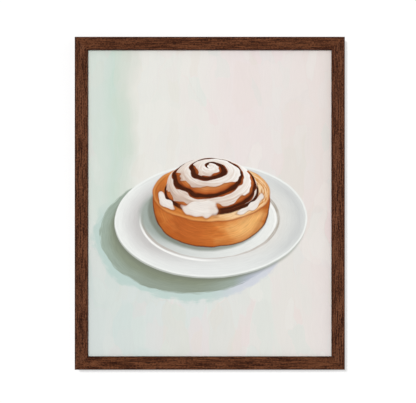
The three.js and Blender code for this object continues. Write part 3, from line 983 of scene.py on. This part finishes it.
class FRAMED_PRINT_OT_hanger(bpy.types.Operator):
    """Finish the sawtooth hanger and its two nails"""

    bl_idname = "framed_print.hanger"
    bl_label = "Hanger"

    def execute(self, context):
        settings = context.scene.framed_print.hardware
        brass = plated_metal("brass_plated_steel", settings.brass, "#8d6c33")
        bm = eased_copy("sawtooth_hanger", settings.burr)
        new_piece("brass_hanger", bm, brass, "sawtooth_hanger")
        for side in ("left", "right"):
            node = f"hanger_nail_{side}"
            low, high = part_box(node)
            head = (high.x - low.x) / 2
            rim = high.y - NAIL_CROWN
            under_head = rim - NAIL_RIM
            shank = [(0, low.y), (NAIL_SHANK, low.y + NAIL_POINT), (NAIL_SHANK, under_head)]
            angles = [math.radians(degrees) for degrees in (0, 25, 50, 70)]
            crown = [(head * math.cos(a), rim + NAIL_CROWN * math.sin(a)) for a in angles]
            bm = turned_shape([*shank, (head, under_head), *crown, (0, high.y)], 24, (low + high) / 2)
            new_piece(f"brass_nail_{side}", bm, brass, node)
        return {"FINISHED"}


class FRAMED_PRINT_OT_pads(bpy.types.Operator):
    """Make the felt pads"""

    bl_idname = "framed_print.pads"
    bl_label = "Felt Pads"

    def execute(self, context):
        felt = wool_felt(context.scene.framed_print.hardware)
        for corner in CORNERS:
            node = f"felt_pad_{corner}"
            low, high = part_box(node)
            centre, radius = (low + high) / 2, (high.x - low.x) / 2 - PAD_FUZZ
            front = [(radius * share, low.y) for share in (0, 0.2, 0.4, 0.6, 0.8)]
            front += [(radius - PAD_EASE, low.y), (radius, low.y + PAD_EASE)]
            back = [(r, low.y + high.y - y) for r, y in reversed(front)]
            bm = turned_shape([*front, (radius, centre.y), *back], 48, centre)
            for vert in bm.verts:
                out = Vector((vert.co.x - centre.x, 0, vert.co.z - centre.z))
                fuzz = noise.noise(vert.co / PAD_TUFT)
                vert.co += out.normalized() * fuzz * PAD_FUZZ * (out.length / radius)
                if vert.co.y > centre.y:
                    vert.co.y -= abs(fuzz) * PAD_NAP
            new_piece(f"pad_{corner}", bm, felt, node)
        return {"FINISHED"}


class FRAMED_PRINT_OT_stage(bpy.types.Operator):
    """Set up the wall, the floor, the lights and the camera"""

    bl_idname = "framed_print.stage"
    bl_label = "Stage"

    def execute(self, context):
        settings = context.scene.framed_print.stage
        scene = context.scene
        scene.view_settings.view_transform = "Standard"

        camera = bpy.data.cameras.new("camera")
        camera.lens = settings.lens
        camera.clip_end = 50
        away = settings.view_width * camera.lens / camera.sensor_width
        offset = settings.camera_offset
        shown = new_object("camera", camera)
        shown.location = (FRAME_CENTRE.x - offset, RAIL_LOW.y - away, FRAME_CENTRE.z + offset)
        shown.rotation_euler = (math.radians(90), 0, 0)
        scene.camera = shown

        # The wall stands just clear of the pads. Both glow a little, as in a white room.
        wall = self.plane("wall", Vector((0, 0.2 * MM, 0.2)), 90, 0.55, settings)
        floor = self.plane("floor", Vector((0, -1.3, -1.3)), 0, 0.75, settings)
        floor.visible_diffuse = False
        self.sun("key_light", settings.key, settings.key_turn, 20, (wall, floor), "EXCLUDE")
        self.sun("wall_light", settings.wash, settings.wash_turn, 10, (wall, floor), "INCLUDE")
        self.studio_lamps()
        self.room(scene)
        return {"FINISHED"}

    def plane(self, name, centre, slope, glow, settings):
        """A plain painted square, 3 m wide, that can be seen from its front only, so it hides nothing."""
        bm = bmesh.new()
        bmesh.ops.create_grid(bm, x_segments=1, y_segments=1, size=1.5)
        bmesh.ops.rotate(bm, verts=bm.verts, matrix=Matrix.Rotation(math.radians(slope), 3, "X"))
        bmesh.ops.translate(bm, verts=bm.verts, vec=centre)
        material, add = new_material(f"{name}_paint")
        matt = add("BsdfDiffuse", [c * 0.5 for c in settings.wall], 1.0)
        front = add("AddShader", matt, add("Emission", settings.wall, glow))
        behind = add("NewGeometry")[6]
        nothing = add("BsdfTransparent", (1, 1, 1))
        add("OutputMaterial", add("MixShader", behind, front, nothing))
        made = new_shape(name, bm, material)
        made.visible_shadow = False
        made.visible_glossy = False
        return made

    def lamp(self, name, kind, strength, from_middle):
        """A lamp that shines on the frame's middle from a direction."""
        light = bpy.data.lights.new(name, kind)
        light.energy = strength
        lamp = new_object(name, light)
        lamp.rotation_euler = Vector(from_middle).to_track_quat("Z", "Y").to_euler()
        return lamp

    def sun(self, name, strength, turn, width, planes, state):
        """A light from the upper left, width in degrees, for the planes only or for all but them."""
        slope = math.tan(turn)
        lamp = self.lamp(name, "SUN", strength, (-slope, -1, slope))
        lamp.data.angle = math.radians(width)
        lamp.visible_glossy = False
        linked = bpy.data.collections.new(f"{name}_receivers")
        for plane in planes:
            linked.objects.link(plane)
        for member in linked.collection_objects:
            member.light_linking.link_state = state
        lamp.light_linking.receiver_collection = linked

    def studio_lamps(self):
        """Lamps for the back and the side: each one's place in m, power in W and width in m."""
        for name, place, power, size in (
            ("back_light_left", (-1.4, 1.8, 0.7), 28, 1.2),
            ("back_light_right", (1.6, 1.6, 0.2), 16, 1.2),
            ("side_light", (2.2, -0.6, 0.5), 10, 1.0),
        ):
            lamp = self.lamp(name, "AREA", power, Vector(place) - FRAME_CENTRE)
            lamp.location = place
            lamp.data.size = size

    def room(self, scene):
        """The room: white to look at, softly lit, and dim where it is mirrored."""
        white, soft, dim = 1.0, 0.37, 0.12
        world = bpy.data.worlds.new("studio")
        world.use_nodes = True
        world.node_tree.nodes.clear()
        add = partial(add_node, world.node_tree)
        ray = add("LightPath")
        seen, mirrored = ray[0], ray[3]
        strength = add("Mix FLOAT", seen, add("Mix FLOAT", mirrored, soft, dim), white)
        add("OutputWorld", add("Background", (1, 1, 1), strength))
        scene.world = world


class FRAMED_PRINT_PT_panel(bpy.types.Panel):
    """The framed print's operators and settings"""

    bl_idname = "FRAMED_PRINT_PT_panel"
    bl_label = "Framed Print"
    bl_space_type = "VIEW_3D"
    bl_region_type = "UI"
    bl_category = "Framed Print"

    def draw(self, context):
        settings = context.scene.framed_print
        for operator in OPERATORS:
            self.layout.operator(operator.bl_idname)
        for name in ("moulding", "picture", "hardware", "stage"):
            box = self.layout.box()
            box.label(text=name.capitalize())
            group = getattr(settings, name)
            for setting in group.__annotations__:
                box.prop(group, setting)


OPERATORS = (
    FRAMED_PRINT_OT_stage,
    FRAMED_PRINT_OT_rails,
    FRAMED_PRINT_OT_picture,
    FRAMED_PRINT_OT_boards,
    FRAMED_PRINT_OT_fasteners,
    FRAMED_PRINT_OT_hanger,
    FRAMED_PRINT_OT_pads,
)
CLASSES = (
    MouldingSettings,
    PictureSettings,
    HardwareSettings,
    StageSettings,
    FramedPrintSettings,
    *OPERATORS,
    FRAMED_PRINT_PT_panel,
)


def register():
    for cls in CLASSES:
        bpy.utils.register_class(cls)
    bpy.types.Scene.framed_print = PointerProperty(type=FramedPrintSettings)


def unregister():
    del bpy.types.Scene.framed_print
    for cls in reversed(CLASSES):
        bpy.utils.unregister_class(cls)


def main():
    register()
    bpy.ops.framed_print.stage()
    bpy.ops.framed_print.rails()
    bpy.ops.framed_print.picture()
    bpy.ops.framed_print.boards()
    bpy.ops.framed_print.fasteners()
    bpy.ops.framed_print.hanger()
    bpy.ops.framed_print.pads()
    bpy.context.view_layer.update()


if __name__ == "__main__":
    main()
